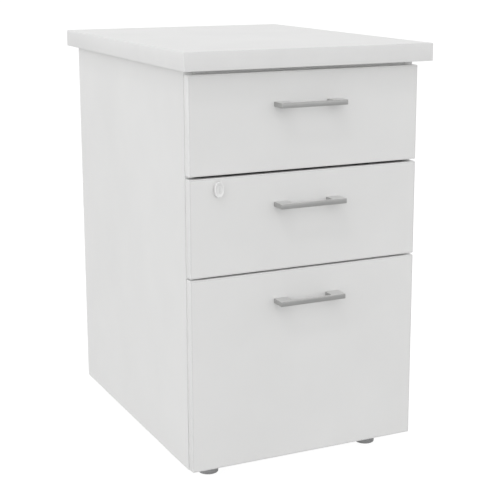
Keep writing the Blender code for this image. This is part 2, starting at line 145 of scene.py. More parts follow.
def roughened(tree, shader, value, rough):
    """Roughness follows a noise between the two limits."""
    link(tree, span(tree, value, to=rough), shader.inputs["Roughness"])


def bumped(tree, shader, height, strength, distance):
    made = tree.nodes.new("ShaderNodeBump")
    made.inputs["Strength"].default_value = strength
    made.inputs["Distance"].default_value = distance
    link(tree, height, made.inputs["Height"])
    link(tree, made.outputs["Normal"], shader.inputs["Normal"])


# ------------------------------------------------------------------ materials


def melamine(name, colour, rough=(0.36, 0.50), pearl=0.10):
    """White decor paper under resin: a very fine pearl texture and a faint cloudiness."""
    made, tree, shader = material(name)
    at = coords(tree)
    fine = noise(tree, at, scale=1500.0, roughness=0.6)
    peel = noise(tree, at, scale=320.0)
    cloud = noise(tree, at, scale=7.0, detail=3.0, roughness=0.55)
    tone = maths(
        tree,
        "MULTIPLY",
        span(tree, cloud, to=(0.985, 1.015)),
        span(tree, fine, to=(0.985, 1.015), within=(0.25, 0.75)),
    )
    tinted(tree, shader, colour, tone)
    roughened(tree, shader, fine, rough)
    height = maths(tree, "ADD", maths(tree, "MULTIPLY", fine, 0.5), peel)
    bumped(tree, shader, height, strength=pearl, distance=0.04 * MM)
    shader.inputs["Specular IOR Level"].default_value = 0.35
    return made


def edging(name, colour):
    """ABS edge band: smoother and a touch glossier than the faces."""
    made, tree, shader = material(name)
    at = coords(tree)
    fine = noise(tree, at, scale=900.0)
    broad = noise(tree, at, scale=24.0)
    tone = maths(
        tree, "MULTIPLY", span(tree, broad, to=(0.985, 1.01)), span(tree, fine, to=(0.99, 1.01))
    )
    tinted(tree, shader, colour, tone)
    roughened(tree, shader, broad, rough=(0.30, 0.42))
    bumped(tree, shader, fine, strength=0.06, distance=0.03 * MM)
    shader.inputs["Specular IOR Level"].default_value = 0.4
    return made


def brushed(name, colour, stretch, rough=(0.26, 0.40), depth=0.35, metallic=1.0, mottling=0.06):
    """Metal with fine brush marks, which run along the axis where stretch is smallest."""
    made, tree, shader = material(name)
    marks = noise(tree, coords(tree, stretch), scale=1.0, detail=4.0, roughness=0.65)
    patch = noise(tree, coords(tree), scale=60.0, detail=3.0)
    tone = maths(
        tree,
        "MULTIPLY",
        span(tree, marks, to=(1 - mottling, 1 + mottling)),
        span(tree, patch, to=(1 - mottling / 2, 1 + mottling / 2)),
    )
    tinted(tree, shader, colour, tone)
    roughened(tree, shader, marks, rough)
    bumped(tree, shader, marks, strength=depth, distance=0.02 * MM)
    shader.inputs["Metallic"].default_value = metallic
    return made


def zinc(name, colour):
    """Zinc plate on cold-rolled sheet: a soft spangle, fine roll marks and duller patches."""
    made, tree, shader = material(name)
    at = coords(tree)
    cells = tree.nodes.new("ShaderNodeTexVoronoi")
    cells.inputs["Scale"].default_value = 420.0
    link(tree, at, cells.inputs["Vector"])
    rolled = noise(tree, coords(tree, scale=(900, 14, 900)), scale=1.0, detail=3.0, roughness=0.6)
    patch = noise(tree, at, scale=45.0, detail=3.0, roughness=0.55)
    tone = maths(
        tree,
        "MULTIPLY",
        span(tree, cells.outputs["Distance"], to=(1.05, 0.93), within=(0.0, 0.8)),
        span(tree, patch, to=(0.92, 1.06)),
    )
    tinted(tree, shader, colour, tone)
    roughened(tree, shader, patch, rough=(0.30, 0.50))
    bumped(tree, shader, rolled, strength=0.25, distance=0.02 * MM)
    shader.inputs["Metallic"].default_value = 1.0
    return made


def moulded(name, colour, rough=(0.42, 0.60), sparkle=0.3):
    """Moulded plastic: an eroded-mould texture, slight colour drift and uneven gloss."""
    made, tree, shader = material(name)
    at = coords(tree)
    fine = noise(tree, at, scale=2200.0, roughness=0.6)
    broad = noise(tree, at, scale=60.0, detail=3.0, roughness=0.6)
    tone = maths(
        tree, "MULTIPLY", span(tree, broad, to=(0.93, 1.08)), span(tree, fine, to=(0.95, 1.05))
    )
    tinted(tree, shader, colour, tone)
    roughened(tree, shader, broad, rough)
    bumped(tree, shader, fine, strength=sparkle, distance=0.04 * MM)
    return made


WHITE = (0.865, 0.865, 0.859)
FACE_TOP = melamine("melamine_top", (0.872, 0.872, 0.868))
FACE_SIDE = melamine("melamine_side", WHITE)
FACE_FRONT = melamine("melamine_front", WHITE)
FACE_INNER = melamine("melamine_inner", (0.80, 0.80, 0.79), rough=(0.42, 0.56))
FOIL = melamine("drawer_foil", (0.76, 0.76, 0.75), rough=(0.34, 0.46), pearl=0.06)
HARDBOARD = melamine("drawer_base_lacquer", (0.67, 0.67, 0.66), rough=(0.40, 0.58), pearl=0.16)
EDGE = edging("edge_band", (0.85, 0.85, 0.846))
# a lighter edge band for the carcass's front edges and the top drawer's front: painted light that
# lifts the shade in the gaps
EDGE_LIT = edging("front_edge_band_painted_light", (0.90, 0.90, 0.895))
# a dark edge band for the top front's lower edge: painted shade for the gap below it
EDGE_LOW_SHADE = edging("top_front_lower_edge_painted_shade", (0.42, 0.42, 0.415))
EDGE_TOP = edging("top_edge_band", (0.848, 0.848, 0.844))
# backer foil for the top's underside and the fronts' backs, lighter than the faces: painted light
# that softens the shade under the overhang
UNDER_LIT = melamine("balance_foil_painted_light", (0.91, 0.91, 0.905), rough=(0.45, 0.6))
SEAM = edging("edge_band_joint", (0.50, 0.50, 0.49))

ALONG_BAR = dict(stretch=(18, 2600, 2600), rough=(0.34, 0.44), depth=0.25)
EVEN = (500, 500, 500)      # a stretch with no brush direction
NICKEL = brushed("satin_nickel", (0.50, 0.50, 0.495), **ALONG_BAR)
# a lighter copy of the same nickel for the handles' upward faces: a painted highlight from the light
# above
NICKEL_HIGHLIT = brushed("satin_nickel_painted_highlight", (0.74, 0.74, 0.735), **ALONG_BAR)
# a darker copy of the lock face's metal for the head's side wall: painted shade
HEAD_SIDE_SHADED = brushed(
    "lock_head_side_painted_shade", (0.78, 0.78, 0.775),
    stretch=(1400, 60, 1400), rough=(0.36, 0.48), depth=0.15, metallic=0.10, mottling=0.03,
)
BRIGHT = brushed(
    "lock_face_satin", (0.90, 0.90, 0.895),
    stretch=EVEN, rough=(0.32, 0.42), depth=0.08, metallic=0.05, mottling=0.015,
)
# the rim is polished (smoother), and lighter than the face as a painted highlight
RIM = brushed(
    "lock_rim_polished_painted_highlight", (0.98, 0.98, 0.975),
    stretch=EVEN, rough=(0.22, 0.30), depth=0.05, metallic=0.05, mottling=0.01,
)
SHUTTER = brushed(
    "lock_dust_shutter", (0.84, 0.84, 0.835),
    stretch=(60, 900, 900), rough=(0.34, 0.46), depth=0.10, metallic=0.10, mottling=0.03,
)
# the key slot's walls, darker than the barrel face they are cut in: painted shade in the slot
SLOT_SHADED = brushed(
    "lock_slot_wall_painted_shade", (0.62, 0.62, 0.615), stretch=EVEN, rough=(0.4, 0.6), depth=0.1, metallic=0.2
)
STEEL = brushed("turned_steel", (0.50, 0.51, 0.52), stretch=(900, 900, 60), rough=(0.28, 0.42))
ZINC = zinc("zinc_plate", (0.60, 0.62, 0.65))
SCREW = brushed(
    "screw_zinc", (0.55, 0.56, 0.58), stretch=(600, 600, 600), rough=(0.25, 0.40), depth=0.2
)
BALL = brushed(
    "ball_steel", (0.62, 0.62, 0.63),
    stretch=(300, 300, 300), rough=(0.08, 0.16), depth=0.05, mottling=0.02,
)
CAGE = moulded("cage_plastic", (0.55, 0.56, 0.57), rough=(0.40, 0.55), sparkle=0.15)
FOOT = moulded("foot_plastic", (0.34, 0.34, 0.345))


# ------------------------------------------------------------------ objects


def new_object(name, mesh, materials=(), recalc=True):
    """A linked object made from a bmesh, which is freed."""
    if recalc:
        bmesh.ops.recalc_face_normals(mesh, faces=mesh.faces)
    data = bpy.data.meshes.new(name)
    mesh.to_mesh(data)
    mesh.free()
    for made in materials:
        data.materials.append(made)
    obj = bpy.data.objects.new(name, data)
    SCENE.collection.objects.link(obj)
    return obj


def shade(obj, sharp=35):
    """Smooth shading with edges above an angle in degrees kept sharp."""
    obj.data.shade_smooth()
    obj.data.set_sharp_from_angle(angle=radians(sharp))


def piece(name, mesh, body, materials, node=None, sharp=35, recalc=True):
    """A finished mesh that rides on a CAD body and may replace a CAD node."""
    obj = new_object(name, mesh, materials, recalc)
    shade(obj, sharp)
    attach(obj, body)
    if node:
        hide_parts(node)
    return obj


def stand_in(node, mesh, materials, sharp=35, recalc=True):
    """A piece that takes a CAD node's place and body."""
    return piece(
        f"{node}_v", mesh, NODE_BODY[node], materials, node, sharp, recalc
    )


def carve(obj, *cutters):
    """Cuts helper objects out of an object with exact Booleans, then removes them."""
    for cutter in cutters:
        made = obj.modifiers.new("difference", "BOOLEAN")
        made.operation = "DIFFERENCE"
        made.solver = "EXACT"
        made.object = cutter
    bpy.context.view_layer.update()
    graph = bpy.context.evaluated_depsgraph_get()
    data = bpy.data.meshes.new_from_object(obj.evaluated_get(graph))
    obj.modifiers.clear()
    obj.data = data
    for cutter in cutters:
        bpy.data.objects.remove(cutter, do_unlink=True)


def template(name, mesh, *cutters):
    """A mesh for repeated small hardware, cut once and copied into the pieces that carry it."""
    obj = new_object(name, mesh)
    if cutters:
        carve(obj, *cutters)
    data = obj.data
    bpy.data.objects.remove(obj, do_unlink=True)
    return data


# ------------------------------------------------------------------ mesh tools


def bridge(mesh, first, second, index=0):
    """Quads between two rings of equally many vertices."""
    count = len(first)
    for i in range(count):
        j = (i + 1) % count
        face = mesh.faces.new((first[i], first[j], second[j], second[i]))
        face.material_index = index


def rounded_ring(mesh, put, half_u, half_v, inset, corner, depth, steps=4):
    """A rounded rectangle, inset from a board's outline, at one depth through its thickness."""
    radius = max(corner - inset, 0.12 * MM)
    reach_u, reach_v = half_u - inset - radius, half_v - inset - radius
    ring = []
    for quarter, (sign_u, sign_v) in enumerate(((1, 1), (-1, 1), (-1, -1), (1, -1))):
        for k in range(steps + 1):
            angle = (quarter + k / steps) * pi / 2
            across = sign_u * reach_u + radius * cos(angle)
            along = sign_v * reach_v + radius * sin(angle)
            ring.append(mesh.verts.new(put(across, along, depth)))
    return ring


def board_mesh(
    low, high, axis, edge_round, band, corner=1.5 * MM, seam=0.09 * MM, arc=4,
    low_index=0, high_index=0, low_round=None,
):
    """A board with rounded edges: material 0 on its faces, 1 on the edge band, 2 in the joint.

    axis runs through its thickness. low_index and high_index are the materials of the faces
    at that axis's ends, and low_round gives the low end's edge its own round.
    """
    thin = "XYZ".index(axis)
    u_axis, v_axis = ((1, 2), (0, 2), (0, 1))[thin]
    half_u, half_v = (high[u_axis] - low[u_axis]) / 2, (high[v_axis] - low[v_axis]) / 2
    mid_u, mid_v = (high[u_axis] + low[u_axis]) / 2, (high[v_axis] + low[v_axis]) / 2
    thick = high[thin] - low[thin]

    def put(across, along, depth):
        place = [0.0, 0.0, 0.0]
        place[u_axis], place[v_axis], place[thin] = mid_u + across, mid_v + along, low[thin] + depth
        return place

    def half_profile(radius):
        """(inset, depth) from the joint's groove in the face out round the edge."""
        points = [(band + seam, 0.0), (band, 0.12 * MM), (band - seam, 0.0)]
        for i in range(arc + 1):
            angle = i / arc * pi / 2
            points.append((radius * (1 - sin(angle)), radius * (1 - cos(angle))))
        return points

    profile = half_profile(low_round or edge_round)
    profile += [(inset, thick - depth) for inset, depth in reversed(half_profile(edge_round))]
    mesh = bmesh.new()
    rings = [
        rounded_ring(mesh, put, half_u, half_v, inset, corner, depth) for inset, depth in profile
    ]
    mesh.faces.new(rings[0]).material_index = low_index
    mesh.faces.new(list(reversed(rings[-1]))).material_index = high_index
    count = len(rings)
    for i in range(count - 1):
        bridge(mesh, rings[i], rings[i + 1], 2 if i in (0, 1, count - 3, count - 2) else 1)
    return mesh


def lathe(mesh, profile, origin, axis, steps=64):
    """(radius, position along Y or Z) points turned a full circle; a bored one closes on itself."""
    turn = Matrix.Rotation(-pi / 2, 4, "X") if axis == "Y" else Matrix.Identity(4)
    place = Matrix.Translation(Vector(origin)) @ turn
    angles = [2 * pi * i / steps for i in range(steps)]
    rings = []
    for radius, along in profile:
        spokes = [(0, 0)] if radius == 0 else [(radius * cos(a), radius * sin(a)) for a in angles]
        rings.append([mesh.verts.new(place @ Vector((x, y, along))) for x, y in spokes])
    pairs = list(zip(rings, rings[1:]))
    if len(rings[0]) > 1 and len(rings[-1]) > 1:
        pairs.append((rings[-1], rings[0]))
    for first, second in pairs:
        for i in range(steps):
            j = (i + 1) % steps
            loop = [
                first[i % len(first)], first[j % len(first)],
                second[j % len(second)], second[i % len(second)],
            ]
            mesh.faces.new(list(dict.fromkeys(loop)))


def add_box(mesh, low, high):
    low, high = Vector(low), Vector(high)
    made = bmesh.ops.create_cube(mesh, size=1.0)
    bmesh.ops.scale(mesh, vec=high - low, verts=made["verts"])
    bmesh.ops.translate(mesh, vec=(high + low) / 2, verts=made["verts"])


def bevel(mesh, edges, width, segments):
    bmesh.ops.bevel(
        mesh, geom=edges, offset=width, offset_type="OFFSET", segments=segments, profile=0.5,
        affect="EDGES", clamp_overlap=True,
    )


def bevel_sharp(mesh, width, segments=2):
    """Bevels every edge that turns more than 35 degrees."""
    edges = [
        e for e in mesh.edges if len(e.link_faces) == 2 and e.calc_face_angle(0.0) > radians(35)
    ]
    bevel(mesh, edges, width, segments)


def paste(mesh, data, matrix, index):
    """Copies a template mesh into mesh at a place, all in one material."""
    old_verts, old_faces = set(mesh.verts), set(mesh.faces)
    mesh.from_mesh(data)
    added = [v for v in mesh.verts if v not in old_verts]
    bmesh.ops.transform(mesh, matrix=matrix, verts=added)
    for face in mesh.faces:
        if face not in old_faces:
            face.material_index = index


def facing(place, direction):
    """A matrix that takes a template pointing up +Z to a place and direction."""
    turn = Vector(direction).to_track_quat("Z", "Y").to_matrix().to_4x4()
    return Matrix.Translation(Vector(place)) @ turn


def cad_shell(node):
    """The CAD node's own surface as a clean bmesh, its flat faces made whole again."""
    source = frame["nodes"][node].data
    mesh = bmesh.new()
    verts = [mesh.verts.new(v.co) for v in source.vertices]
    for polygon in source.polygons:
        # guards against a CAD polygon that repeats an earlier face or one of its own corners
        try:
            mesh.faces.new([verts[i] for i in polygon.vertices])
        except ValueError:
            pass
    bmesh.ops.remove_doubles(mesh, verts=mesh.verts, dist=2e-6)
    bmesh.ops.recalc_face_normals(mesh, faces=mesh.faces)
    bmesh.ops.dissolve_limit(mesh, angle_limit=radians(1.0), verts=mesh.verts, edges=mesh.edges)
    return mesh


def refine(node, width, materials, segments=2):
    """A CAD node's own shape with its sharp edges bevelled."""
    mesh = cad_shell(node)
    bevel_sharp(mesh, width, segments)
    return stand_in(node, mesh, materials)


def fillet_path(points, radii, steps=4):
    """A polyline with each inner corner turned into an arc."""
    path = [Vector(points[0])]
    for i in range(1, len(points) - 1):
        corner, radius = Vector(points[i]), radii[i - 1]
        back = (Vector(points[i - 1]) - corner).normalized()
        ahead = (Vector(points[i + 1]) - corner).normalized()
        half = back.angle(ahead) / 2
        reach = radius * cos(half) / sin(half)
        centre = corner + (back + ahead).normalized() * (radius / sin(half))
        first, last = corner + back * reach - centre, corner + ahead * reach - centre
        start, end = atan2(first.y, first.x), atan2(last.y, last.x)
        while end - start > pi:
            end -= 2 * pi
        while end - start < -pi:
            end += 2 * pi
        for k in range(steps + 1):
            angle = start + (end - start) * k / steps
            path.append(centre + Vector((cos(angle), sin(angle))) * radius)
    path.append(Vector(points[-1]))
    return path


def sheet(path, thick, start_y, end_y):
    """Sheet metal of even thickness following a path in (x, z), lying along Y, ends closed."""
    mesh = bmesh.new()
    count = len(path)
    normals = []
    for i in range(count):
        before = (path[i] - path[i - 1]).normalized() if i else (path[1] - path[0]).normalized()
        after = (path[i + 1] - path[i]).normalized() if i < count - 1 else before
        along = (before + after).normalized()
        lean = max(before.dot(along), 0.3)
        normals.append(Vector((-along.y, along.x)) / lean)
    one_side = [p + normal * thick / 2 for p, normal in zip(path, normals)]
    other_side = [p - normal * thick / 2 for p, normal in zip(path, normals)]
    outline = one_side + other_side[::-1]
    near = [mesh.verts.new((p.x, start_y, p.y)) for p in outline]
    far = [mesh.verts.new((p.x, end_y, p.y)) for p in outline]
    total = len(outline)
    for i in range(total):
        j = (i + 1) % total
        mesh.faces.new((near[i], far[i], far[j], near[j]))
    for i in range(count - 1):      # quad strips close the ends, so bent sections cap cleanly
        j = total - 1 - i
        mesh.faces.new((near[i], near[i + 1], near[j - 1], near[j]))
        mesh.faces.new((far[j], far[j - 1], far[i + 1], far[i]))
    bmesh.ops.recalc_face_normals(mesh, faces=mesh.faces)
    return mesh


# ------------------------------------------------------------------ hardware templates


def cross_cutters(name, reach, half_width, bottom, top, turn):
    """Two crossed boxes that cut a cross recess."""
    cutters = []
    for angle in (turn, turn + pi / 2):
        mesh = bmesh.new()
        add_box(mesh, (-reach, -half_width, bottom), (reach, half_width, top))
        bmesh.ops.rotate(mesh, matrix=Matrix.Rotation(angle, 3, "Z"), verts=mesh.verts)
        cutters.append(new_object(f"{name}_cut", mesh))
    return cutters


def pan_head(name, radius, height, recess):
    """A pan-head screw's head, seated at z = 0 and pointing up, with a cross recess."""
    mesh = bmesh.new()
    profile = [(0, -0.4 * MM), (radius * 0.96, -0.4 * MM), (radius, 0.15 * height)]
    for i in range(1, 6):
        angle = i / 5 * pi / 2
        profile.append(
            (radius * (0.55 + 0.45 * cos(angle)), height * (0.15 + 0.85 * sin(angle)))
        )
    profile.append((0, height))
    lathe(mesh, profile, (0, 0, 0), "Z", steps=24)
    cutters = cross_cutters(
        name, reach=recess, half_width=0.16 * recess, bottom=0.25 * height, top=height + MM, turn=0.4
    )
    return template(name, mesh, *cutters)


def cam_face(name):
    """A 15 mm cam fitting in its hole: a rim, a sunk face and a cross drive."""
    mesh = bmesh.new()
    profile = in_mm([   # radius, height above the board's face
        (0, -0.8), (7.4, -0.8), (7.4, 0.05), (7.1, 0.22), (6.4, 0.22), (6.2, -0.25), (0, -0.25),
    ])
    lathe(mesh, profile, (0, 0, 0), "Z", steps=32)
    cutters = cross_cutters(
        name, reach=3.4 * MM, half_width=0.6 * MM, bottom=-0.65 * MM, top=1 * MM, turn=0.3
    )
    return template(name, mesh, *cutters)


def unit_ball(name):
    mesh = bmesh.new()
    bmesh.ops.create_icosphere(mesh, subdivisions=2, radius=1.0)
    return template(name, mesh)


SLIDE_SCREW = pan_head("slide_screw", radius=3.4 * MM, height=1.1 * MM, recess=1.9 * MM)
HANDLE_SCREW = pan_head("handle_screw", radius=4.0 * MM, height=2.6 * MM, recess=2.3 * MM)
CAM = cam_face("cam_fitting")
BALL_MESH = unit_ball("ball")


# ------------------------------------------------------------------ carcass


def top_panel():
    low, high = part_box("top_panel")
    mesh = board_mesh(
        low, high, "Z", edge_round=1.1 * MM, band=2.0 * MM, corner=1.8 * MM, arc=5,
        low_index=3, low_round=0.5 * MM,
    )
    # the underside takes the lighter backer foil, painted light
    stand_in("top_panel", mesh, [FACE_TOP, EDGE_TOP, SEAM, UNDER_LIT])


def side_panel(side):
    """A side whose front edge takes the lighter edge band, painted light that lifts the shade in the
    gaps; the left one is grooved for the lock bar.
    """
    node = f"side_panel_{side}"
    low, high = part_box(node)
    mesh = board_mesh(
        low, high, "X", edge_round=0.8 * MM, band=1.0 * MM, corner=1.0 * MM, seam=0.06 * MM, arc=3
    )
    mesh.normal_update()
    bmesh.ops.recalc_face_normals(mesh, faces=mesh.faces)
    for face in mesh.faces:
        if face.normal.y < -0.95:
            face.material_index = 3
    panel = stand_in(node, mesh, [FACE_SIDE, EDGE, SEAM, EDGE_LIT])
    if side == "left":
        bar_low, bar_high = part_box("lock_bar")
        groove = bmesh.new()
        add_box(
            groove,
            (high.x - 7 * MM, bar_low.y - 0.3 * MM, bar_low.z - 15 * MM),
            (high.x + 5 * MM, bar_high.y + 0.3 * MM, bar_high.z + 28 * MM),
        )
        carve(panel, new_object("groove_cut", groove))
        shade(panel)


def top_rail(end):
    """A rail under the top, with the lighter edge band on its front face: painted light that lifts
    the shade in the gap under the top.
    """
    rail = refine(f"top_rail_{end}", 0.6 * MM, [FACE_INNER, EDGE_LIT])
    for polygon in rail.data.polygons:
        if polygon.normal.y < -0.9:
            polygon.material_index = 1


top_panel()
for side, _ in SIDES:
    side_panel(side)
for node in ("back_panel", "bottom_panel"):
    refine(node, 0.5 * MM, [FACE_INNER])
for end in ("front", "rear"):
    top_rail(end)

# ------------------------------------------------------------------ feet

# inset from the foot's radius, height
FOOT_RIM = in_mm([
    (1.3, 0.0), (0.8, 0.2), (0.4, 0.7), (0.3, 1.6), (0.45, 2.2), (0.75, 2.4), (0.75, 2.8),
    (0.35, 3.0), (0.05, 3.6), (0.0, 5.0), (0.1, 14.6), (0.4, 16.0), (1.3, 17.2), (2.6, 17.8),
])
# radius, height
FOOT_NECK = in_mm([
    (12.2, 18.8), (11.2, 19.6), (10.8, 20.4), (10.7, 25.2), (10.3, 25.9), (4.1, 26.0),
])
# the screw's thread: crests and roots in turn
FOOT_THREAD = in_mm([(4.1 if i % 2 == 0 else 3.5, 26.4 + i * 0.62) for i in range(25)])


def foot(corner):
    """A round foot with its threaded screw, and the socket it turns in."""
    node = f"foot_{corner}"
    low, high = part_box(node)
    radius = (high.x - low.x) / 2
    profile = [(0, 0.0)]
    profile += [(radius - inset, z) for inset, z in FOOT_RIM]
    profile += FOOT_NECK + FOOT_THREAD
    profile += [(3.3 * MM, high.z - 0.6 * MM), (2.6 * MM, high.z), (0, high.z)]
    mesh = bmesh.new()
    lathe(mesh, profile, ((low.x + high.x) / 2, (low.y + high.y) / 2, 0), "Z", steps=56)
    for face in mesh.faces:
        if face.calc_center_median().z > 26.1 * MM:
            face.material_index = 1
    stand_in(node, mesh, [FOOT, SCREW], sharp=28)
    refine(f"foot_socket_{corner}", 0.3 * MM, [ZINC], segments=1)


for corner in ("front_left", "front_right", "rear_left", "rear_right"):
    foot(corner)

# ------------------------------------------------------------------ drawers

TUBE_LOW, TUBE_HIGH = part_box("lock_housing")
# the lock's axis where it meets the middle drawer's face
LOCK_X = (TUBE_LOW.x + TUBE_HIGH.x) / 2
LOCK_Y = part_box("drawer_2_front")[0].y
LOCK_Z = (TUBE_LOW.z + TUBE_HIGH.z) / 2
LOCK_AT = (LOCK_X, LOCK_Y, LOCK_Z)
LOCK_HOLE = in_mm([(0, -5), (8.3, -5), (8.3, 25), (0, 25)])    # radius, depth behind the face

CAM_SHARES = {1: (0.32, 0.78), 2: (0.32, 0.78), 3: (0.2, 0.5, 0.85)}    # of the side's height
CAM_SETBACK = 24 * MM       # from the side's front end

HANDLE_LEG = 24.5 * MM      # width of each leg
HANDLE_BAR = 6 * MM         # depth of the bar
HANDLE_PITCH = 96 * MM      # between screws
WASHER = 1.0 * MM           # thickness


def drawer_front(n):
    node = f"drawer_{n}_front"
    low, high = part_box(node)
    mesh = board_mesh(low, high, "Y", edge_round=1.3 * MM, band=2.0 * MM, high_index=3)
    if n == 1:      # the top front's lower edge is painted dark: painted shade that deepens the gap below it
        for face in mesh.faces:
            if face.calc_center_median().z < low.z + 0.05 * MM:
                face.material_index = 4
    # the top front's edge band is the lighter one, painted light that lifts the shade under the
    # top's overhang
    edge = EDGE_LIT if n == 1 else EDGE
    front = stand_in(node, mesh, [FACE_FRONT, edge, SEAM, UNDER_LIT, EDGE_LOW_SHADE])
    if n == 2:
        hole = bmesh.new()
        lathe(hole, LOCK_HOLE, LOCK_AT, "Y", steps=48)
        carve(front, new_object("lock_hole_cut", hole))
        shade(front)


def drawer_side(n, side, sign):
    """A side wall, with the cam fittings that hold the front set in its inner face."""
    node = f"drawer_{n}_side_{side}"
    low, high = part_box(node)
    mesh = cad_shell(node)
    bevel_sharp(mesh, 0.7 * MM, segments=3)
    x = high.x if side == "left" else low.x
    for share in CAM_SHARES[n]:
        place = (x, low.y + CAM_SETBACK, low.z + (high.z - low.z) * share)
        paste(mesh, CAM, facing(place, (-sign, 0, 0)), 1)
    stand_in(node, mesh, [FOIL, SCREW], recalc=False)


def handle(n):
    """Broad legs and a slim flat bar, all edges softly broken."""
    node = f"handle_{n}"
    low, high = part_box(node)
    wide = (high.x - low.x) / 2
    inner = wide - HANDLE_LEG
    outer_y, inner_y, foot_y = low.y, low.y + HANDLE_BAR, high.y
    plan = [    # x, y, corner radius
        (-wide, foot_y, 0), (-wide, outer_y, 2.5 * MM),
        (wide, outer_y, 2.5 * MM), (wide, foot_y, 0),
        (inner, foot_y, 0), (inner, inner_y, 3.0 * MM),
        (-inner, inner_y, 3.0 * MM), (-inner, foot_y, 0),
    ]
    outline = []
    for i, (x, y, radius) in enumerate(plan):
        if radius == 0:
            outline.append(Vector((x, y)))
        else:
            ends = plan[i - 1][:2], plan[(i + 1) % len(plan)][:2]
            outline += fillet_path([ends[0], (x, y), ends[1]], [radius], steps=7)[1:-1]
    mesh = bmesh.new()
    low_ring = [mesh.verts.new((p.x, p.y, low.z)) for p in outline]
    top_ring = [mesh.verts.new((p.x, p.y, high.z)) for p in outline]
    mesh.faces.new(low_ring)
    mesh.faces.new(list(reversed(top_ring)))
    bridge(mesh, low_ring, top_ring)
    bmesh.ops.recalc_face_normals(mesh, faces=mesh.faces)
    # the edges that lie against the drawer front stay sharp
    edges = [
        e for e in mesh.edges
        if e.calc_face_angle(0.0) > radians(60)
        and not all(abs(v.co.y - foot_y) < 1e-6 for v in e.verts)
    ]
    bevel(mesh, edges, 0.75 * MM, segments=3)
    mesh.normal_update()
    # faces that look up take the lighter nickel copy, a painted highlight
    for face in mesh.faces:
        if face.normal.z > 0.8:
            face.material_index = 1
    stand_in(node, mesh, [NICKEL, NICKEL_HIGHLIT], sharp=40)


def handle_screws(n):
    """The handle's two screws and washers, on the drawer front's rear face."""
    low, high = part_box(f"handle_{n}")
    front = f"drawer_{n}_front"
    y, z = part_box(front)[1].y, (low.z + high.z) / 2
    washer = [
        (2.2 * MM, 0.02 * MM), (6.0 * MM, 0.02 * MM), (6.0 * MM, 0.7 * MM),
        (5.7 * MM, WASHER), (2.2 * MM, WASHER),
    ]
    mesh = bmesh.new()
    for x in (-HANDLE_PITCH / 2, HANDLE_PITCH / 2):
        lathe(mesh, washer, (x, y, z), "Y", steps=32)
        paste(mesh, HANDLE_SCREW, facing((x, y + WASHER, z), (0, 1, 0)), 0)
    piece(f"handle_{n}_screws", mesh, NODE_BODY[front], [SCREW], recalc=False)


for n in DRAWERS:
    drawer_front(n)
    for side, sign in SIDES:
        drawer_side(n, side, sign)
    refine(f"drawer_{n}_base", 0.3 * MM, [HARDBOARD], segments=1)
    refine(f"drawer_{n}_back", 0.7 * MM, [FOIL], segments=3)
    refine(f"drawer_{n}_catch", 0.25 * MM, [ZINC])
    handle(n)
    handle_screws(n)

# ------------------------------------------------------------------ slides

WALL_X = 193.7 * MM     # outer face of the outer channel's web, from the middle
BOX_X = 181.3 * MM      # inner face of the inner channel's web
CHANNEL_THICK = 1.2 * MM
CAGE_THICK = 0.5 * MM
CAGE_START = 6 * MM     # behind the slide's front end
OUTER_SCREWS = (0.08, 0.35, 0.92)   # shares of the channel's length
INNER_SCREWS = (0.06, 0.40, 0.94)


def section(points, radii, steps, sign, z):
    """A filleted (x, height) path laid on one side of the pedestal at a height."""
    return [Vector((sign * p.x, z + p.y)) for p in fillet_path(points, radii, steps)]


def channel(node, sign, z, web_x, lip_x, half_height, curl=0, screws=()):
    """A slide's bent channel, with its fixing screws; curl is how far its lips turn back."""
    low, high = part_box(node)
    thick = CHANNEL_THICK
    inward = 1 if lip_x > web_x else -1     # from the web towards the lips
    back, front = web_x + inward * thick / 2, lip_x - inward * thick / 2
    half = half_height - thick / 2
    bend, lip_bend = 1.6 * MM, 1.0 * MM
    if curl:
        points = [
            (front, -half + curl), (front, -half), (back, -half),
            (back, half), (front, half), (front, half - curl),
        ]
        radii = [lip_bend, bend, bend, lip_bend]
    else:
        points = [(lip_x, -half), (back, -half), (back, half), (lip_x, half)]
        radii = [bend, bend]
    mesh = sheet(section(points, radii, 5, sign, z), thick, low.y, high.y)
    # a turned-in lug at the rear end stops the balls running out
    near_x, far_x = sorted(sign * (back + inward * reach) for reach in (0.4 * MM, 2.0 * MM))
    add_box(
        mesh,
        (near_x, high.y - 9 * MM, z - 4 * MM),
        (far_x, high.y - 7.6 * MM, z + 4 * MM),
    )
    bmesh.ops.recalc_face_normals(mesh, faces=mesh.faces)
    for share in screws:
        place = (sign * (web_x + inward * thick), low.y + (high.y - low.y) * share, z)
        paste(mesh, SLIDE_SCREW, facing(place, (sign * inward, 0, 0)), 1)
    stand_in(node, mesh, [ZINC, SCREW], recalc=False)


def cage(name, body, sign, z, front_y, web_x, arm_x, half_height, ball_radius, ball_x, end, count):
    """A ball cage with a row of balls above and below; end is its rear end behind front_y."""
    start_y, end_y = front_y + CAGE_START, front_y + end
    points = [
        (arm_x, -half_height), (web_x, -half_height), (web_x, half_height), (arm_x, half_height),
    ]
    path = section(points, [1.0 * MM, 1.0 * MM], 3, sign, z)
    mesh = sheet(path, CAGE_THICK, start_y, end_y)
    first_y, last_y = start_y + 3 * MM, end_y - 3 * MM
    for row in (-1, 1):
        for i in range(count):
            y = first_y + (last_y - first_y) * (i + 0.5) / count
            place = Matrix.Translation((sign * ball_x, y, z + row * half_height))
            paste(mesh, BALL_MESH, place @ Matrix.Scale(ball_radius, 4), 1)
    piece(name, mesh, body, [CAGE, BALL], recalc=False)


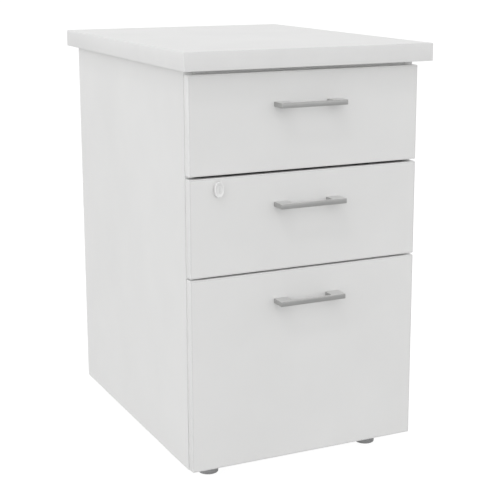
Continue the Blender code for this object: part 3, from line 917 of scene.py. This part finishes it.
def two_part_slide(name, sign, z, front_y):
    """The upper drawers' slide: outer and inner channels with one cage."""
    channel(
        f"{name}_outer", sign, z, web_x=WALL_X, lip_x=WALL_X - 9 * MM,
        half_height=17.5 * MM, curl=2.0 * MM, screws=OUTER_SCREWS,
    )
    channel(
        f"{name}_inner", sign, z, web_x=BOX_X, lip_x=BOX_X + 9 * MM,
        half_height=12 * MM, screws=INNER_SCREWS,
    )
    cage(
        f"{name}_cage", "carcass", sign, z, front_y, web_x=191.4 * MM, arm_x=185.9 * MM,
        half_height=14.15 * MM, ball_radius=1.95 * MM, ball_x=187.6 * MM, end=108 * MM, count=12,
    )


def three_part_slide(name, side, sign, z, front_y):
    """The file drawer's slide: a middle channel between the others, and two cages."""
    channel(
        f"{name}_outer", sign, z, web_x=WALL_X, lip_x=WALL_X - 9 * MM,
        half_height=22.5 * MM, curl=2.0 * MM, screws=OUTER_SCREWS,
    )
    channel(
        f"{name}_middle", sign, z, web_x=WALL_X - 2.2 * MM, lip_x=WALL_X - 10 * MM,
        half_height=18 * MM, curl=1.6 * MM,
    )
    channel(
        f"{name}_inner", sign, z, web_x=BOX_X, lip_x=BOX_X + 7 * MM,
        half_height=13 * MM, screws=INNER_SCREWS,
    )
    cage(
        f"{name}_cage_a", "carcass", sign, z, front_y, web_x=192.0 * MM, arm_x=186.2 * MM,
        half_height=19.65 * MM, ball_radius=1.5 * MM, ball_x=188.2 * MM, end=200 * MM, count=22,
    )
    cage(
        f"{name}_cage_b", f"slide_3_middle_{side}", sign, z, front_y,
        web_x=189.3 * MM, arm_x=184.9 * MM,
        half_height=14.9 * MM, ball_radius=1.7 * MM, ball_x=186.4 * MM, end=200 * MM, count=22,
    )


def file_rail(side, sign):
    """An L-shaped rail with a rounded bend; its upright flange is nearest the middle."""
    node = f"file_rail_{side}"
    low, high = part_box(node)
    thick = 1.5 * MM
    near, far = (high.x, low.x) if side == "left" else (low.x, high.x)
    upright = near + sign * thick / 2
    points = [(far, low.z + thick / 2), (upright, low.z + thick / 2), (upright, high.z)]
    mesh = sheet(fillet_path(points, [1.2 * MM], 5), thick, low.y, high.y)
    for share in (0.05, 0.5, 0.95):
        y = low.y + (high.y - low.y) * share
        place = ((near + far) / 2 + sign * 2 * MM, y, low.z + thick)
        paste(mesh, SLIDE_SCREW, facing(place, (0, 0, 1)), 1)
    stand_in(node, mesh, [ZINC, SCREW], recalc=False)


for n in DRAWERS:
    for side, sign in SIDES:
        name = f"slide_{n}_{side}"
        low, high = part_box(f"{name}_outer")
        z = (low.z + high.z) / 2
        if n < 3:
            two_part_slide(name, sign, z, low.y)
        else:
            three_part_slide(name, side, sign, z, low.y)
for side, sign in SIDES:
    file_rail(side, sign)

# ------------------------------------------------------------------ lock

HEAD_WIDTH, HEAD_HEIGHT = TUBE_HIGH.x - TUBE_LOW.x, TUBE_HIGH.z - TUBE_LOW.z
HEAD_OUT = LOCK_Y - TUBE_LOW.y      # how far the head stands out of the drawer front
HEAD_STEPS = 96
HEAD_POWER = 0.87                   # below 1 squares the oval a little
BORE, TUBE, MOUTH = 6.3 * MM, 7.8 * MM, 6.02 * MM   # radii

# inset from the oval outline, depth behind the head's face (both in mm), material: 0 the face, 1 the
# side wall in a darker copy of the face's metal as painted shade, 2 the rim in a lighter copy as
# painted highlight
HEAD_RINGS = (
    (1.3, 0.20, 0), (1.0, 0.03, 2), (0.75, 0.0, 2), (0.5, 0.10, 2), (0.28, 0.32, 2),
    (0.1, 0.7, 2), (0.0, 1.2, 1), (0.0, 7.0, 1), (0.1, 7.4, 1), (0.3, 7.7, 1),
)
# radius, depth behind the drawer front's face
BARREL = in_mm([
    (0, -7.5), (4.6, -7.5), (4.8, -7.6), (5.6, -7.6), (5.82, -7.5), (5.9, -7.3),
    (5.9, 20), (3, 20), (3, 29), (0, 29),
])


def head_ring(mesh, half_width, half_height, y, power=1):
    """A ring round the lock's axis, at a depth behind the drawer front's face."""
    ring = []
    for i in range(HEAD_STEPS):
        angle = 2 * pi * i / HEAD_STEPS
        across, up = cos(angle), sin(angle)
        x = half_width * abs(across) ** power * (1 if across >= 0 else -1)
        z = half_height * abs(up) ** power * (1 if up >= 0 else -1)
        ring.append(mesh.verts.new((LOCK_X + x, LOCK_Y + y, LOCK_Z + z)))
    return ring


def lock_housing():
    """The oval head, bored for the barrel, and the round tube behind it."""
    mesh = bmesh.new()
    rings = []      # ring, material of the band that leads to it
    for radius, depth in (
        (BORE, 3.0 * MM), (MOUTH, 2.6 * MM), (MOUTH, 0.38 * MM), (MOUTH + 0.15 * MM, 0.22 * MM),
    ):
        rings.append((head_ring(mesh, radius, radius, depth - HEAD_OUT), 0))
    for inset, depth, index in HEAD_RINGS:
        half_width, half_height = HEAD_WIDTH / 2 - inset * MM, HEAD_HEIGHT / 2 - inset * MM
        y = depth * MM - HEAD_OUT
        rings.append((head_ring(mesh, half_width, half_height, y, HEAD_POWER), index))
    for radius, y in (
        (TUBE, -0.3 * MM), (TUBE, 19.6 * MM), (TUBE - 0.35 * MM, 20 * MM), (BORE, 20 * MM),
    ):
        rings.append((head_ring(mesh, radius, radius, y), 0))
    for (first, _), (second, index) in zip(rings, rings[1:] + rings[:1]):
        bridge(mesh, first, second, index)
    # side wall and rim take darker and lighter copies of the face's metal: painted shade and painted
    # highlight
    stand_in("lock_housing", mesh, [BRIGHT, HEAD_SIDE_SHADED, RIM], sharp=50)


def lock_box(half_width, half_height, start_y, end_y, width):
    """A bevelled upright box on the lock's axis."""
    mesh = bmesh.new()
    add_box(
        mesh,
        (LOCK_X - half_width, LOCK_Y + start_y, LOCK_Z - half_height),
        (LOCK_X + half_width, LOCK_Y + end_y, LOCK_Z + half_height),
    )
    bevel_sharp(mesh, width)
    return mesh


def lock_barrel():
    """The turned barrel with its key slot."""
    mesh = bmesh.new()
    lathe(mesh, BARREL, LOCK_AT, "Y")
    barrel = stand_in("lock_barrel", mesh, [BRIGHT, SLOT_SHADED])
    slot = lock_box(0.95 * MM, 4 * MM, start_y=-12 * MM, end_y=5 * MM, width=0.35 * MM)
    # the slot's walls take the darker metal copy, painted shade
    for face in slot.faces:
        face.material_index = 1
    carve(barrel, new_object("key_slot_cut", slot, [BRIGHT, SLOT_SHADED]))
    shade(barrel)


def dust_shutter():
    """A sprung shutter that closes the key slot just under the face."""
    mesh = lock_box(0.88 * MM, 3.9 * MM, start_y=-7.25 * MM, end_y=-6.6 * MM, width=0.12 * MM)
    node = "lock_barrel"
    piece("lock_dust_shutter", mesh, NODE_BODY[node], [SHUTTER])


lock_housing()
lock_barrel()
dust_shutter()
refine("lock_crank", 0.3 * MM, [STEEL])
refine("lock_bar", 0.5 * MM, [ZINC])
refine("lock_lift_arm", 0.3 * MM, [ZINC])
for n in DRAWERS:
    refine(f"lock_peg_{n}", 0.2 * MM, [STEEL], segments=1)

# ------------------------------------------------------------------ stage

AMBIENT = 1.295                                     # surround strength level with the horizon
TO_TOP, TO_LEFT, TO_FRONT = -0.715, 0.210, 0.032    # strength gained towards each direction
LEAST_GLOW = 0.2                                    # the surround is never weaker than this
BACKDROP = 1.1                                      # surround strength the camera sees
FLOOR_GLOW, FLOOR_SEEN = 0.38, 0.92                 # floor emission: as light, as seen
KEY_ENERGY, KEY_SPREAD = 0.20, radians(5)
KEY_FROM = (-0.37, -0.38, 0.88)                     # left, front and high
CAMERA_AT = (-0.9421, -2.0531, 0.8777)
CAMERA_TURN, CAMERA_DIP = radians(-25.891), radians(12.218)     # about Z, below level


def camera_ray(tree):
    """1 where the camera itself looks, 0 for all other rays."""
    return tree.nodes.new("ShaderNodeLightPath").outputs["Is Camera Ray"]


def studio_floor():
    mesh = bmesh.new()
    bmesh.ops.create_grid(mesh, x_segments=1, y_segments=1, size=40.0)
    made, tree, shader = material("studio_floor")
    shader.inputs["Base Color"].default_value = (0.20, 0.20, 0.20, 1)
    shader.inputs["Roughness"].default_value = 0.9
    shader.inputs["Specular IOR Level"].default_value = 0.0
    shader.inputs["Emission Color"].default_value = (1, 1, 1, 1)
    glow = span(tree, camera_ray(tree), to=(FLOOR_GLOW, FLOOR_SEEN), within=(0.0, 1.0))
    link(tree, glow, shader.inputs["Emission Strength"])
    new_object("floor", mesh, [made], recalc=False)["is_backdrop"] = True


def studio_world():
    """A pale surround, brighter below and to the left; the camera sees plain white."""
    world = bpy.data.worlds.new("studio")
    SCENE.world = world
    world.use_nodes = True
    tree = world.node_tree
    background = tree.nodes["Background"]
    place = tree.nodes.new("ShaderNodeTexCoord")
    dot = tree.nodes.new("ShaderNodeVectorMath")
    dot.operation = "DOT_PRODUCT"
    dot.inputs[1].default_value = (-TO_LEFT, -TO_FRONT, TO_TOP)
    link(tree, place.outputs["Generated"], dot.inputs[0])
    glow = maths(tree, "ADD", dot.outputs["Value"], AMBIENT)
    glow = maths(tree, "MAXIMUM", glow, LEAST_GLOW)
    seen = camera_ray(tree)
    plain = maths(tree, "MULTIPLY", seen, BACKDROP)
    lit = maths(tree, "MULTIPLY", maths(tree, "SUBTRACT", 1.0, seen), glow)
    link(tree, maths(tree, "ADD", plain, lit), background.inputs["Strength"])
    background.inputs["Color"].default_value = (1, 1, 1, 1)


def key_light():
    light = bpy.data.lights.new("key", "SUN")
    light.energy = KEY_ENERGY
    light.angle = KEY_SPREAD
    obj = bpy.data.objects.new("key", light)
    SCENE.collection.objects.link(obj)
    obj.rotation_euler = Vector(KEY_FROM).to_track_quat("Z", "Y").to_euler()


def view_camera():
    camera = bpy.data.cameras.new("camera")
    camera.sensor_width = 36.0
    camera.lens = 89.494
    camera.shift_x = -0.0285
    camera.shift_y = -0.0633
    camera.clip_start, camera.clip_end = 0.05, 200
    obj = bpy.data.objects.new("camera", camera)
    SCENE.collection.objects.link(obj)
    obj.location = CAMERA_AT
    level = cos(CAMERA_DIP)
    forward = Vector((-sin(CAMERA_TURN) * level, cos(CAMERA_TURN) * level, -sin(CAMERA_DIP)))
    obj.rotation_euler = forward.to_track_quat("-Z", "Y").to_euler()
    SCENE.camera = obj


studio_floor()
studio_world()
key_light()
view_camera()

SCENE.view_settings.view_transform = "Standard"
SCENE.view_settings.look = "None"
SCENE.view_settings.exposure = 0.0
SCENE.view_settings.gamma = 1.0

low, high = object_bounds()
